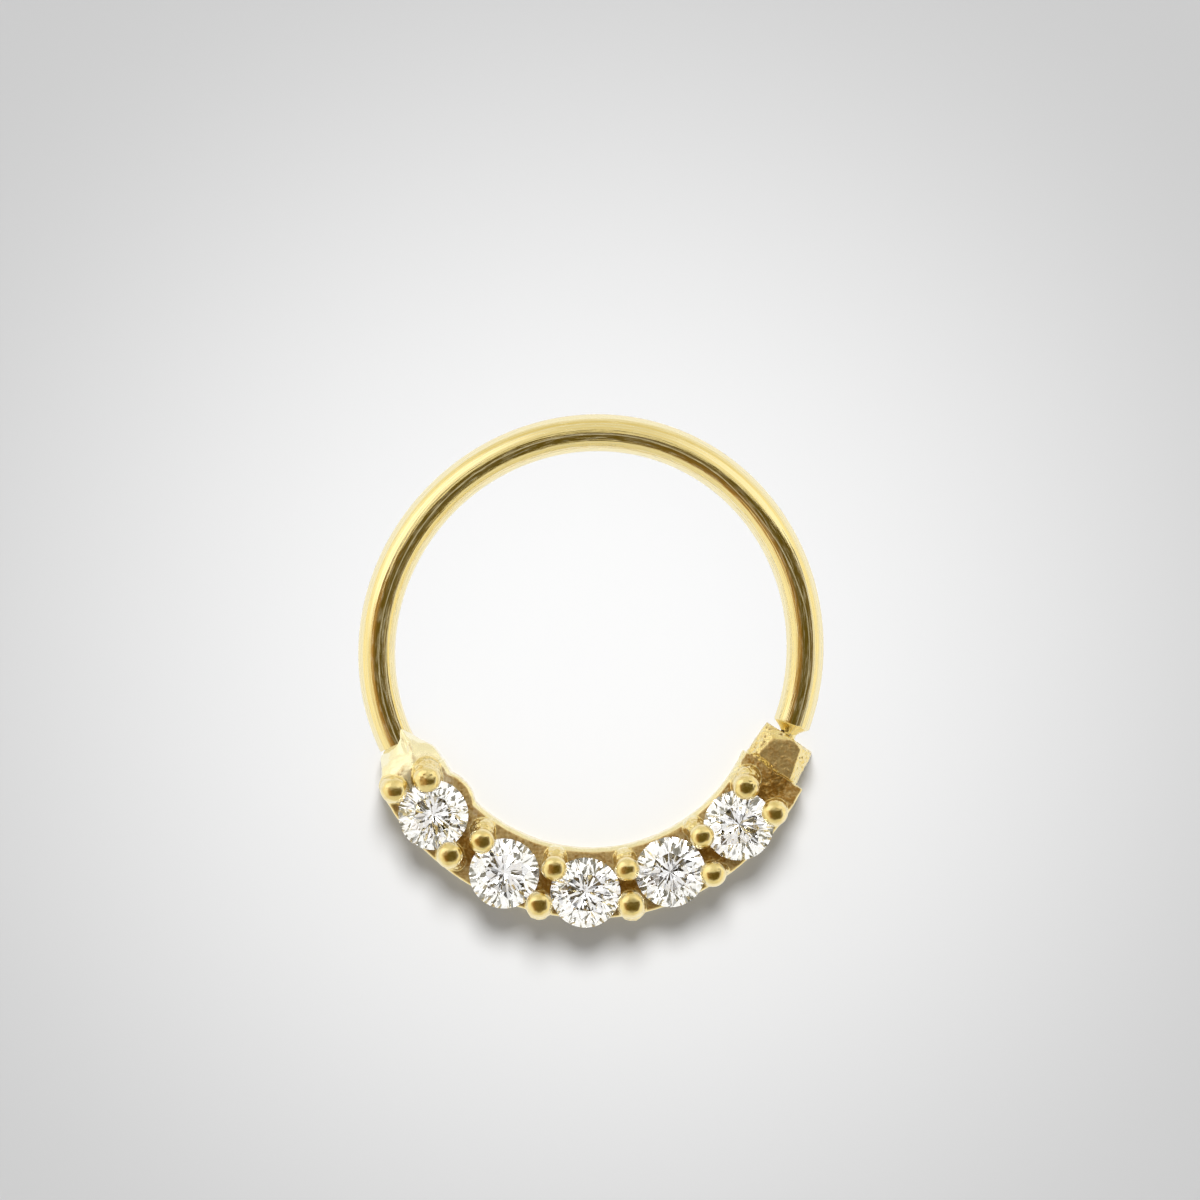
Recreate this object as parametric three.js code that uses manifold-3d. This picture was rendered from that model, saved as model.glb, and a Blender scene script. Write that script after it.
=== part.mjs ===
// A tragus ring: a hoop of round gold wire whose lower third is a curved bar of five round brilliants
// in beaded claws. The wire is soldered into a shoulder at the bar's left end. Its free right end is
// turned down to a thin pin, which slips into a hole in the clasp block at the bar's right end.
//
// Millimetres, +Z up. The ring lies on its flat back with the stones facing up. Everything is laid out
// about the hoop's centre, with +Y towards the top of the hoop, and the whole group is then moved so
// that its origin is the middle of its footprint.
import * as THREE from "three";
import { mergeVertices } from "three/addons/utils/BufferGeometryUtils.js";
import Module from "manifold-3d";

const wasm = await Module();
wasm.setup();

// ---- Driving dimensions ----

const wireRadius = 0.4; // 20 gauge wire
const hoopRadius = 4.615; // to the middle of the wire
const bendWander = 0.05; // how far the hand-bent wire strays from a true circle
const wireStart = -116; // degrees from the top of the hoop, clockwise: inside the shoulder
const wireEnd = 110.6; // where the wire's full thickness stops, just short of the clasp

const pinRadius = 0.17;
const pinTaper = 0.22; // length of the cone between wire and pin
const pinLength = 0.8; // from the end of the full wire to the pin's tip
const pinClearance = 0.04; // all round, in the clasp's hole
const pinHoleDepth = 0.9; // from the end of the full wire too

const barCentre = { x: -0.03, y: -0.69 }; // the bar bends about its own centre
const barInner = 3.58;
const barOuter = 5.09;
const barStart = -62; // degrees from straight down, towards +X
const barEnd = 75; // cut off square to the clasp, before this angle is reached
const barHeight = 1.0;
const barBevel = 0.05;

const stoneRadius = 0.75;
const stoneGap = 0.03; // clearance between a stone and the gold round it
const girdleHeight = 1.22; // middle of the stones' girdle above the ring's back
const lightHoleRadius = 0.42; // the hole behind each stone

const clawRadius = 0.29;
const clawFoot = 0.45; // height of the foot, buried in the bar
const clawShaftTop = 1.38; // where the straight side turns into the bead
const clawTop = 1.6;
const innerClawLean = 0.13; // how far a bead sits from its foot, across the bar
const outerClawLean = -0.04;

// Angles are from straight down, towards +X, about the bar's own centre. A stone is turned about its axis.
const stones = [
  { angle: -49.7, radius: 4.43, turn: 8 },
  { angle: -24.3, radius: 4.52, turn: 31 },
  { angle: -1.5, radius: 4.53, turn: 17 },
  { angle: 22.6, radius: 4.43, turn: 3 },
  { angle: 45.7, radius: 4.42, turn: 26 },
];

// The bar swells round the first stone, towards the middle of the hoop.
const swelling = { angle: -50.4, radius: 4.25, size: 0.8 };

// An inner and an outer claw at each end of the bar and in each space between two stones.
const clawPairs = [
  { innerAngle: -59.1, innerRadius: 4.1, outerAngle: -61.1, outerRadius: 4.82 },
  { innerAngle: -34.4, innerRadius: 4.15, outerAngle: -39.1, outerRadius: 4.79 },
  { innerAngle: -11.1, innerRadius: 4.09, outerAngle: -13.1, outerRadius: 4.91 },
  { innerAngle: 10.9, innerRadius: 4.1, outerAngle: 10.2, outerRadius: 4.86 },
  { innerAngle: 35.6, innerRadius: 4.09, outerAngle: 32.4, outerRadius: 4.88 },
  { innerAngle: 55.8, innerRadius: 4.03, outerAngle: 54.4, outerRadius: 4.83 },
];

// The clasp block. Its mouth faces the wire's free end, and its foot is the bar's cut end.
const clasp = {
  mouth: { x: 4.2, y: -1.88 },
  facing: 33.7, // degrees from +Y towards +X
  barCut: 0.78, // depth at which the bar is cut off
};

// The block's section at its mouth and at its foot. Sides are measured across the mouth from its middle.
const claspSections = [
  { depth: 0, inner: -0.55, facetInner: -0.25, facetOuter: 0.34, outer: 0.62, shoulder: 0.84, top: 1.14 },
  { depth: 0.8, inner: -0.55, facetInner: -0.34, facetOuter: 0.53, outer: 0.7, shoulder: 0.84, top: 1.1 },
];

// The soldered shoulder's sections, from inside the bar to inside the wire. Each stands across the ring
// between an outer and an inner point. Squareness 2 gives an ellipse, and more a rounded box.
const shoulderSections = [
  { outerX: -4.28, outerY: -3.42, innerX: -3.0, innerY: -2.82, base: 0, top: 1.0, squareness: 8 },
  { outerX: -4.56, outerY: -3.08, innerX: -3.08, innerY: -2.6, base: 0, top: 1.02, squareness: 7 },
  { outerX: -4.56, outerY: -2.85, innerX: -3.22, innerY: -2.35, base: 0, top: 1.05, squareness: 6 },
  { outerX: -4.5, outerY: -2.55, innerX: -3.4, innerY: -2.08, base: 0, top: 1.05, squareness: 5 },
  { outerX: -4.53, outerY: -2.32, innerX: -3.72, innerY: -1.94, base: 0, top: 0.94, squareness: 3 },
  { outerX: -4.54, outerY: -2.05, innerX: -3.93, innerY: -1.78, base: 0.08, top: 0.72, squareness: 2 },
];

// A round brilliant's proportions.
const cut = {
  table: 0.56, // of the stone's diameter, like the next three
  crown: 0.15,
  girdle: 0.036,
  pavilion: 0.43,
  star: 0.5, // of the way from the table's edge to the girdle
  lowerHalf: 0.77, // of the way from the girdle to the culet
};

const wireSides = 14;
const wireSteps = 50;
const barSteps = 44;
const roundSides = 24; // of seats, light holes and the swelling
const clawSides = 14;
const girdleSides = 64;

// ---- Solids from three.js geometry ----

// The closed solid that a geometry's triangles bound.
function solid(geometry) {
  const bare = new THREE.BufferGeometry();
  bare.setAttribute("position", geometry.attributes.position);
  bare.setIndex(geometry.index);
  const merged = mergeVertices(bare, 1e-4);
  return new wasm.Manifold(
    new wasm.Mesh({
      numProp: 3,
      vertProperties: new Float32Array(merged.attributes.position.array),
      triVerts: new Uint32Array(merged.index.array),
    }),
  );
}

function geometryOf(body) {
  const made = body.getMesh();
  const geometry = new THREE.BufferGeometry();
  geometry.setAttribute("position", new THREE.BufferAttribute(made.vertProperties, 3));
  geometry.setIndex(new THREE.BufferAttribute(made.triVerts, 1));
  return geometry;
}

// Flat faces given by their corners, each counter-clockwise from outside.
function facesGeometry(faces) {
  const points = [];
  for (const face of faces) {
    for (let i = 1; i + 1 < face.length; i++) {
      points.push(face[0], face[i], face[i + 1]);
    }
  }
  return new THREE.BufferGeometry().setFromPoints(points);
}

// A skin over rings that have equally many corners, each ring counter-clockwise seen from the last one.
function loft(rings) {
  const faces = [[...rings[0]].reverse(), rings.at(-1)];
  for (let r = 0; r + 1 < rings.length; r++) {
    const near = rings[r];
    const far = rings[r + 1];
    near.forEach((corner, i) => {
      const next = (i + 1) % near.length;
      faces.push([corner, near[next], far[next]], [corner, far[next], far[i]]);
    });
  }
  return facesGeometry(faces);
}

// A solid of revolution about +Y. The profile lists distance from the axis and height, upwards.
function turned(profile, sides) {
  return new THREE.LatheGeometry(
    profile.map(([distance, height]) => new THREE.Vector2(distance, height)),
    sides,
  );
}

// Stands a solid of revolution on a point, with its axis along a direction.
function standing(geometry, foot, direction) {
  const up = new THREE.Vector3(0, 1, 0);
  const turn = new THREE.Quaternion().setFromUnitVectors(up, direction.clone().normalize());
  return geometry.applyQuaternion(turn).translate(foot.x, foot.y, foot.z);
}

// ---- Places ----

const rad = THREE.MathUtils.degToRad;
const upwards = new THREE.Vector3(0, 0, 1);

// A point over the bar, by its angle from straight down and its distance from the bar's centre.
function overBar(angle, radius, height) {
  return new THREE.Vector3(
    barCentre.x + radius * Math.sin(rad(angle)),
    barCentre.y - radius * Math.cos(rad(angle)),
    height,
  );
}

// The middle of the wire, by its angle from the top of the hoop, clockwise.
function alongHoop(angle) {
  const radius = hoopRadius + bendWander * Math.cos(2.5 * rad(angle - 25));
  return new THREE.Vector3(radius * Math.sin(rad(angle)), radius * Math.cos(rad(angle)), wireRadius);
}

// ---- The gold ----

function wire() {
  const path = new THREE.CatmullRomCurve3(
    Array.from({ length: wireSteps + 1 }, (_, i) =>
      alongHoop(wireStart + ((wireEnd - wireStart) * i) / wireSteps),
    ),
  );
  const section = new THREE.Shape().absarc(0, 0, wireRadius, 0, 2 * Math.PI, false);
  return new THREE.ExtrudeGeometry(section, {
    extrudePath: path,
    steps: wireSteps,
    curveSegments: wireSides / 2, // to each half turn
    bevelEnabled: false,
  });
}

// Places something turned at the wire's free end, along the wire's last direction.
function atFreeEnd(geometry) {
  const end = alongHoop(wireEnd);
  return standing(geometry, end, end.clone().sub(alongHoop(wireEnd - 1)));
}

// The turned-down end of the wire: a cone and a pin.
function pin() {
  const overlap = 0.06;
  const point = 0.06;
  const profile = [
    [0, -overlap],
    [0.96 * wireRadius, -overlap],
    [0.96 * wireRadius, 0],
    [0.74 * wireRadius, 0.6 * pinTaper],
    [pinRadius, pinTaper],
    [pinRadius, pinLength - point],
    [0.6 * pinRadius, pinLength],
    [0, pinLength],
  ];
  return atFreeEnd(turned(profile, wireSides));
}

function pinHole() {
  const radius = pinRadius + pinClearance;
  const profile = [
    [0, pinTaper],
    [radius, pinTaper],
    [radius, pinHoleDepth],
    [0, pinHoleDepth],
  ];
  return atFreeEnd(turned(profile, wireSides));
}

function bar() {
  const start = rad(barStart - 90);
  const end = rad(barEnd - 90);
  const outline = new THREE.Shape();
  outline.absarc(barCentre.x, barCentre.y, barOuter - barBevel, start, end, false);
  outline.absarc(barCentre.x, barCentre.y, barInner + barBevel, end, start, true);
  const body = new THREE.ExtrudeGeometry(outline, {
    depth: barHeight - 2 * barBevel,
    curveSegments: barSteps / 2,
    bevelSize: barBevel,
    bevelThickness: barBevel,
    bevelSegments: 1,
  });
  return body.translate(0, 0, barBevel);
}

// A plain upright round body between two heights.
function post(foot, radius, top) {
  const profile = [
    [0, 0],
    [radius, 0],
    [radius, top - foot.z],
    [0, top - foot.z],
  ];
  return standing(turned(profile, roundSides), foot, upwards);
}

// A claw grows out of the bar's side and leans over the stones to its bead.
function claw(angle, radius, lean) {
  const foot = overBar(angle, radius - lean, clawFoot);
  const shaftTop = overBar(angle, radius, clawShaftTop);
  const shaft = shaftTop.distanceTo(foot);
  const bead = clawTop - clawShaftTop;
  const profile = [
    [0, 0],
    [0.6 * clawRadius, 0],
    [0.98 * clawRadius, 0.45 * shaft],
    [clawRadius, shaft],
    [0.93 * clawRadius, shaft + 0.4 * bead],
    [0.7 * clawRadius, shaft + 0.75 * bead],
    [0.35 * clawRadius, shaft + 0.95 * bead],
    [0, shaft + bead],
  ];
  return standing(turned(profile, clawSides), foot, shaftTop.sub(foot));
}

// The clasp's own frame: X across its mouth, Y up from the ring's back, Z into the block.
function inClasp(geometry) {
  const facing = rad(clasp.facing);
  const across = new THREE.Vector3(Math.cos(facing), -Math.sin(facing), 0);
  const inwards = new THREE.Vector3(-Math.sin(facing), -Math.cos(facing), 0);
  const place = new THREE.Matrix4()
    .makeBasis(across, upwards, inwards)
    .setPosition(clasp.mouth.x, clasp.mouth.y, 0);
  return geometry.applyMatrix4(place);
}

function claspBlock() {
  const rings = claspSections.map((s) =>
    [
      [s.inner, 0],
      [s.outer, 0],
      [s.outer, s.shoulder],
      [s.facetOuter, s.top],
      [s.facetInner, s.top],
      [s.inner, s.shoulder],
    ].map(([x, y]) => new THREE.Vector3(x, y, s.depth)),
  );
  return inClasp(loft(rings));
}

// What the saw takes off the bar's end, beyond the clasp's foot.
function barOffcut() {
  const size = 3;
  return inClasp(new THREE.BoxGeometry(size, size, size).translate(0, 0, clasp.barCut - size / 2));
}

function solderedShoulder() {
  const corners = 20;
  const rings = shoulderSections.map((s) => {
    const outer = new THREE.Vector3(s.outerX, s.outerY, 0);
    const inner = new THREE.Vector3(s.innerX, s.innerY, 0);
    const middle = outer.clone().lerp(inner, 0.5);
    const across = outer.sub(middle);
    return Array.from({ length: corners }, (_, i) => {
      const angle = (2 * Math.PI * i) / corners;
      const side = Math.sign(Math.cos(angle)) * Math.abs(Math.cos(angle)) ** (2 / s.squareness);
      const rise = Math.sign(Math.sin(angle)) * Math.abs(Math.sin(angle)) ** (2 / s.squareness);
      const height = (s.base + s.top) / 2 + (rise * (s.top - s.base)) / 2;
      return middle.clone().addScaledVector(across, side).setZ(height);
    });
  });
  return loft(rings);
}

// ---- The stones ----

// A bezel facet spans two of these, and its neighbours' tips lie halfway between two bezels.
const halfTurn = 360 / 16;
const halfTurnCos = Math.cos(rad(halfTurn));

// Heights and distances that a stone and its seat share.
function stoneLevels() {
  const diameter = 2 * stoneRadius;
  const girdleTop = girdleHeight + (cut.girdle * diameter) / 2;
  const girdleBottom = girdleHeight - (cut.girdle * diameter) / 2;
  const tableTop = girdleTop + cut.crown * diameter;
  const tableRadius = cut.table * stoneRadius;
  const crownSlope = (tableTop - girdleTop) / (stoneRadius - tableRadius);
  const starRadius = THREE.MathUtils.lerp(tableRadius * halfTurnCos, stoneRadius, cut.star);
  return {
    girdleTop,
    girdleBottom,
    tableRadius,
    tableTop,
    starRadius,
    starHeight: tableTop - crownSlope * (starRadius * halfTurnCos - tableRadius),
    culet: girdleBottom - cut.pavilion * diameter,
    pavilionSlope: cut.pavilion * 2,
  };
}

// The hollow for a stone and the light hole behind it, in one round cutter.
function seat({ angle, radius }) {
  const level = stoneLevels();
  const outsideFlats = 1 / Math.cos(Math.PI / roundSides);
  const rim = (stoneRadius + stoneGap) * outsideFlats;
  const rimBottom = level.girdleBottom - stoneGap;
  const below = 0.1;
  const profile = [
    [0, -below],
    [lightHoleRadius, -below],
    [lightHoleRadius, rimBottom - level.pavilionSlope * (rim - lightHoleRadius)],
    [rim, rimBottom],
    [rim, level.girdleTop + stoneGap],
    [(level.starRadius + stoneGap) * outsideFlats, level.starHeight + stoneGap],
    [(level.tableRadius + stoneGap) * outsideFlats, level.tableTop + stoneGap],
    [0, level.tableTop + stoneGap],
  ];
  return standing(turned(profile, roundSides), overBar(angle, radius, 0), upwards);
}

// A round brilliant, crown up: table, stars, bezels and upper halves above the girdle, and lower halves
// and pavilion mains below it. The half facets run out to the round girdle and scallop its edges.
function brilliant({ angle, radius, turn }) {
  const level = stoneLevels();
  const halfRadius = stoneRadius * (1 - cut.lowerHalf);
  const halfHeight = level.culet + level.pavilionSlope * halfRadius * halfTurnCos;

  const ring = (degrees, distance, height) =>
    new THREE.Vector3(
      distance * Math.cos(rad(degrees)),
      distance * Math.sin(rad(degrees)),
      height,
    );
  const table = (k) => ring(2 * k * halfTurn, level.tableRadius, level.tableTop);
  const starTip = (k) => ring((2 * k + 1) * halfTurn, level.starRadius, level.starHeight);
  const halfTip = (k) => ring((2 * k + 1) * halfTurn, halfRadius, halfHeight);

  // The girdle edge of the half facet between two neighbouring girdle corners, seen from its inner tip.
  const segments = girdleSides / 16;
  const edge = (corner, tip, height) => {
    const plane = new THREE.Plane().setFromCoplanarPoints(
      tip,
      ring(corner * halfTurn, stoneRadius, height),
      ring((corner + 1) * halfTurn, stoneRadius, height),
    );
    return Array.from({ length: segments + 1 }, (_, i) => {
      const point = ring((corner + i / segments) * halfTurn, stoneRadius, 0);
      point.z = -(plane.normal.x * point.x + plane.normal.y * point.y + plane.constant) / plane.normal.z;
      return point;
    });
  };

  const culet = ring(0, 0, level.culet);
  const faces = [Array.from({ length: 8 }, (_, k) => table(k))];
  for (let k = 0; k < 8; k++) {
    const bezelFoot = ring(2 * k * halfTurn, stoneRadius, level.girdleTop);
    const mainFoot = ring(2 * k * halfTurn, stoneRadius, level.girdleBottom);
    faces.push([table(k), starTip(k), table(k + 1)]);
    faces.push([table(k), starTip(k - 1), bezelFoot, starTip(k)]);
    faces.push([culet, halfTip(k), mainFoot, halfTip(k - 1)]);
    for (const corner of [2 * k, 2 * k + 1]) {
      const upper = edge(corner, starTip(k), level.girdleTop);
      const lower = edge(corner, halfTip(k), level.girdleBottom);
      faces.push([starTip(k), ...upper]);
      faces.push([halfTip(k), ...lower.toReversed()]);
      for (let i = 0; i < segments; i++) {
        faces.push([upper[i], lower[i], lower[i + 1], upper[i + 1]]);
      }
    }
  }
  const place = overBar(angle, radius, 0);
  return facesGeometry(faces).rotateZ(rad(turn)).translate(place.x, place.y, 0);
}

// ---- The assembly ----

function join(geometries) {
  return geometries.map(solid).reduce((whole, piece) => whole.add(piece));
}

function goldFrame() {
  const swellingFoot = overBar(swelling.angle, swelling.radius, 0);
  const claws = clawPairs.flatMap((pair) => [
    claw(pair.innerAngle, pair.innerRadius, innerClawLean),
    claw(pair.outerAngle, pair.outerRadius, outerClawLean),
  ]);
  const setting = solid(bar())
    .subtract(solid(barOffcut()))
    .add(join([post(swellingFoot, swelling.size, barHeight), solderedShoulder(), claspBlock(), ...claws]));
  return setting
    .subtract(join(stones.map(seat)))
    .subtract(solid(pinHole()))
    .add(join([wire(), pin()]));
}

const gold = new THREE.MeshStandardMaterial({ color: 0xd9b65c, roughness: 0.22, metalness: 1 });
const clearStone = new THREE.MeshStandardMaterial({ color: 0xf4f6f8, roughness: 0.02, metalness: 0 });

const ring = new THREE.Group();

const frameMesh = new THREE.Mesh(geometryOf(goldFrame()), gold);
frameMesh.name = "ring_frame";
ring.add(frameMesh);

stones.forEach((stone, i) => {
  const mesh = new THREE.Mesh(brilliant(stone), clearStone);
  mesh.name = `stone_${i + 1}`;
  ring.add(mesh);
});

const extent = new THREE.Box3().setFromObject(ring);
const footprint = extent.getCenter(new THREE.Vector3());
ring.position.set(-footprint.x, -footprint.y, -extent.min.z);

export default ring;
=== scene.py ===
# A gold tragus ring lying on its back: a drawn wire hoop, a curved bar with five stones in beaded
# claws, the soldered shoulder at the bar's left end and the clasp block at its right end.
# Metal is shaped in millimetres about the hoop's centre, +Y to the hoop's top, then put in the frame.
import math
import random
import bmesh
import bpy
import numpy as np
from mathutils import Matrix, Vector, noise


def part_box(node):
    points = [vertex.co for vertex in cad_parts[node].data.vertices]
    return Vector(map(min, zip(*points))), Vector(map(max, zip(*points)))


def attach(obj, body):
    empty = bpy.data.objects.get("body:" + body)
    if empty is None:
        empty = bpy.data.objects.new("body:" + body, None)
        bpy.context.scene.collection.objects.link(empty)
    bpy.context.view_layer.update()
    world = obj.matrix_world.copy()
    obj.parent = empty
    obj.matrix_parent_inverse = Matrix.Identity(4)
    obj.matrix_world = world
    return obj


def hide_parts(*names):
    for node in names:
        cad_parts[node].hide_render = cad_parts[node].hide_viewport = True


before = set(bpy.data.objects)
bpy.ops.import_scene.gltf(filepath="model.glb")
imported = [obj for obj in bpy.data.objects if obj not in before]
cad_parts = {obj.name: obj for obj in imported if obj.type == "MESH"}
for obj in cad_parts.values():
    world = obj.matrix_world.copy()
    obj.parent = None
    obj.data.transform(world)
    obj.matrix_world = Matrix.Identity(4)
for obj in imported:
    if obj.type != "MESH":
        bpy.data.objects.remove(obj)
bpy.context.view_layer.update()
print("frame loaded:", len(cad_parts), "nodes")

mm = 0.001
up = Vector((0, 0, 1))

# the bar bends about its own centre, its angles are from straight down, towards the clasp
bar = {
    "centreX": -0.03, "centreY": -0.69,
    "inner": 3.58, "outer": 5.09,
    "startAngle": -62.0, "endAngle": 75.0,
    "height": 1.0,
    "innerBevel": 0.09, "outerBevel": 0.035, "backBevel": 0.05,
    "steps": 220,
}


def overBar(angle, radius, height=0.0):
    a = math.radians(angle)
    return Vector((bar["centreX"] + radius * math.sin(a), bar["centreY"] - radius * math.cos(a), height))


def alongBar(point):
    # angle and radius of a point over the bar
    x = point[0] - bar["centreX"]
    y = point[1] - bar["centreY"]
    return math.degrees(math.atan2(x, -y)), math.hypot(x, y)


stones = {
    "radius": 0.75,
    "gap": 0.03,                # clearance to the gold
    "girdleHeight": 1.22,
    "lightHole": 0.42, "seatSides": 96,
    "table": 0.56, "crown": 0.15, "girdle": 0.036, "pavilion": 0.43, "star": 0.5, "lowerHalf": 0.77,
    "offCut": 0.012, "refraction": 2.417,
    "places": [                 # angle, radius, turn about its own axis
        (-49.7, 4.43, 8), (-24.3, 4.52, 31), (-1.5, 4.53, 17), (22.6, 4.43, 3), (45.7, 4.42, 26),
    ],
}

# the middle stone ties the hoop's centre to the frame
low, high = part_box("stone_3")
hoopCentre = (low + high) / 2 - overBar(*stones["places"][2][:2]) * mm
hoopCentre.z = 0
intoFrame = Matrix.Translation(hoopCentre) @ Matrix.Scale(mm, 4)


def ringsToMesh(rings, name="part"):
    # closed skin over rings with equally many corners
    rings = np.asarray(rings, float)
    count, corners = rings.shape[:2]
    faces = []
    for r in range(count - 1):
        for i in range(corners):
            j = (i + 1) % corners
            a, b = r * corners, (r + 1) * corners
            faces.append((a + i, a + j, b + j, b + i))
    faces.append(tuple(range(corners - 1, -1, -1)))
    faces.append(tuple((count - 1) * corners + i for i in range(corners)))
    mesh = bpy.data.meshes.new(name)
    mesh.from_pydata(rings.reshape(-1, 3).tolist(), [], faces)
    faceOutwards(mesh)
    return mesh


def faceOutwards(mesh):
    bm = bmesh.new()
    bm.from_mesh(mesh)
    bmesh.ops.remove_doubles(bm, verts=bm.verts, dist=1e-5)
    bmesh.ops.recalc_face_normals(bm, faces=bm.faces)
    bm.to_mesh(mesh)
    bm.free()


def hull(points, name="part"):
    bm = bmesh.new()
    for p in points:
        bm.verts.new(p)
    made = bmesh.ops.convex_hull(bm, input=bm.verts)
    bmesh.ops.delete(bm, geom=[g for g in made["geom_interior"] + made["geom_unused"]
                               if isinstance(g, bmesh.types.BMVert)], context="VERTS")
    bmesh.ops.recalc_face_normals(bm, faces=bm.faces)
    mesh = bpy.data.meshes.new(name)
    bm.to_mesh(mesh)
    bm.free()
    return mesh


def turned(profile, foot, axis, sides=40):
    # profile lists distance from the axis and height along it
    turn = up.rotation_difference(axis.normalized()).to_matrix()
    rings = []
    for distance, height in profile:
        rings.append([foot + turn @ Vector((distance * math.cos(a), distance * math.sin(a), height))
                      for a in (2 * math.pi * i / sides for i in range(sides))])
    return ringsToMesh(rings)


def joined(meshes, name):
    bm = bmesh.new()
    for m in meshes:
        bm.from_mesh(m)
        bpy.data.meshes.remove(m)
    mesh = bpy.data.meshes.new(name)
    bm.to_mesh(mesh)
    bm.free()
    return mesh


def asObject(mesh, name):
    obj = bpy.data.objects.new(name, mesh)
    bpy.context.scene.collection.objects.link(obj)
    return obj


def applyModifiers(obj):
    graph = bpy.context.evaluated_depsgraph_get()
    mesh = bpy.data.meshes.new_from_object(obj.evaluated_get(graph), depsgraph=graph)
    obj.modifiers.clear()
    old = obj.data
    obj.data = mesh
    bpy.data.meshes.remove(old)
    mesh.name = obj.name
    return obj


def pointsAndNormals(mesh):
    # read together, because a moved vertex makes Blender work out all the normals again
    places = np.empty(len(mesh.vertices) * 3, np.float32)
    normals = np.empty(len(mesh.vertices) * 3, np.float32)
    mesh.vertices.foreach_get("co", places)
    mesh.vertex_normals.foreach_get("vector", normals)
    rows = zip(places.reshape(-1, 3).tolist(), normals.reshape(-1, 3).tolist())
    return [(Vector(p), Vector(n)) for p, n in rows]


def smoothstep(low, high, x):
    t = min(1.0, max(0.0, (x - low) / (high - low)))
    return t * t * (3 - 2 * t)


def spline(table, t):
    # a smooth way through the rows of a table, t from 0 to 1
    rows = np.asarray(table, float)
    x = t * (len(rows) - 1)
    i = min(int(x), len(rows) - 2)
    f = x - i
    p0 = rows[max(i - 1, 0)]
    p1, p2 = rows[i], rows[i + 1]
    p3 = rows[min(i + 2, len(rows) - 1)]
    return 0.5 * (2 * p1 + (p2 - p0) * f + (2 * p0 - 5 * p1 + 4 * p2 - p3) * f ** 2
                  + (3 * p1 - p0 - 3 * p2 + p3) * f ** 3)


wire = {
    "radius": 0.4,
    "hoopRadius": 4.615, "wander": 0.05, "waves": 2.5, "wanderFrom": 25.0,
    "startAngle": -116.0, "endAngle": 110.6,       # from the hoop's top, clockwise
    "steps": 460, "sides": 72, "sharpAngle": 50.0,
    "endChamfer": [(0.0, 1.0), (0.012, 0.985), (0.045, 0.9), (0.13, 0.6), (0.2, 0.45), (0.22, 0.425),
                   (0.74, 0.425), (0.8, 0.26)],    # distance past the end, part of the radius
}


def alongHoop(angle):
    a = math.radians(angle)
    wave = math.cos(wire["waves"] * math.radians(angle - wire["wanderFrom"]))
    r = wire["hoopRadius"] + wire["wander"] * wave
    return Vector((r * math.sin(a), r * math.cos(a), wire["radius"]))


def makeWire():
    start, end = wire["startAngle"], wire["endAngle"]
    centres = [alongHoop(start + (end - start) * i / wire["steps"]) for i in range(wire["steps"] + 1)]
    radii = [wire["radius"]] * len(centres)
    onwards = (centres[-1] - centres[-2]).normalized()
    last = centres[-1]
    for past, part in wire["endChamfer"][1:]:
        centres.append(last + onwards * past)
        radii.append(part * wire["radius"])
    rings = []
    draw = []
    length = 0.0
    for i, (centre, radius) in enumerate(zip(centres, radii)):
        ahead = centres[min(i + 1, len(centres) - 1)]
        behind = centres[max(i - 1, 0)]
        tangent = (ahead - behind).normalized()
        outwards = tangent.cross(up)
        length += (centre - behind).length
        ring = []
        for k in range(wire["sides"]):
            a = 2 * math.pi * k / wire["sides"]
            ring.append(centre + radius * (math.cos(a) * outwards + math.sin(a) * up))
            draw.append((length, math.cos(a), math.sin(a)))
        rings.append(ring)
    mesh = ringsToMesh(rings, "hoop_wire")
    attribute = mesh.attributes.new("draw", "FLOAT_VECTOR", "POINT")   # along, and round the wire
    attribute.data.foreach_set("vector", np.asarray(draw, np.float32).ravel())
    mesh.shade_smooth()
    mesh.set_sharp_from_angle(angle=math.radians(wire["sharpAngle"]))
    return asObject(mesh, "hoop_wire")


def barRing(angle):
    inner, outer, top = bar["inner"], bar["outer"], bar["height"]
    ib, ob, bb = bar["innerBevel"], bar["outerBevel"], bar["backBevel"]
    section = [
        (inner + bb, 0), (outer - bb, 0), (outer, bb), (outer, top - ob), (outer - ob, top),
        (inner + ib, top), (inner, top - ib), (inner, bb),
    ]
    return [overBar(angle, radius, height) for radius, height in section]


def makeBar():
    span = bar["endAngle"] - bar["startAngle"]
    angles = [bar["startAngle"] + span * i / bar["steps"] for i in range(bar["steps"] + 1)]
    return ringsToMesh([barRing(angle) for angle in angles])


# the bar swells round the first stone, towards the middle of the hoop
swelling = {"angle": -50.4, "radius": 4.25, "size": 0.8, "bevel": 0.07, "sides": 96}


def fromSwelling(point):
    # how far a point lies from the swelling's middle, seen from above
    middle = overBar(swelling["angle"], swelling["radius"])
    return math.hypot(point.x - middle.x, point.y - middle.y)


def makeSwelling():
    r, b, back, top = swelling["size"], swelling["bevel"], bar["backBevel"], bar["height"]
    foot = overBar(swelling["angle"], swelling["radius"])
    profile = [(r - back, 0), (r, back), (r, top - b), (r - b, top)]
    return turned(profile, foot, up, swelling["sides"])


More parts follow.
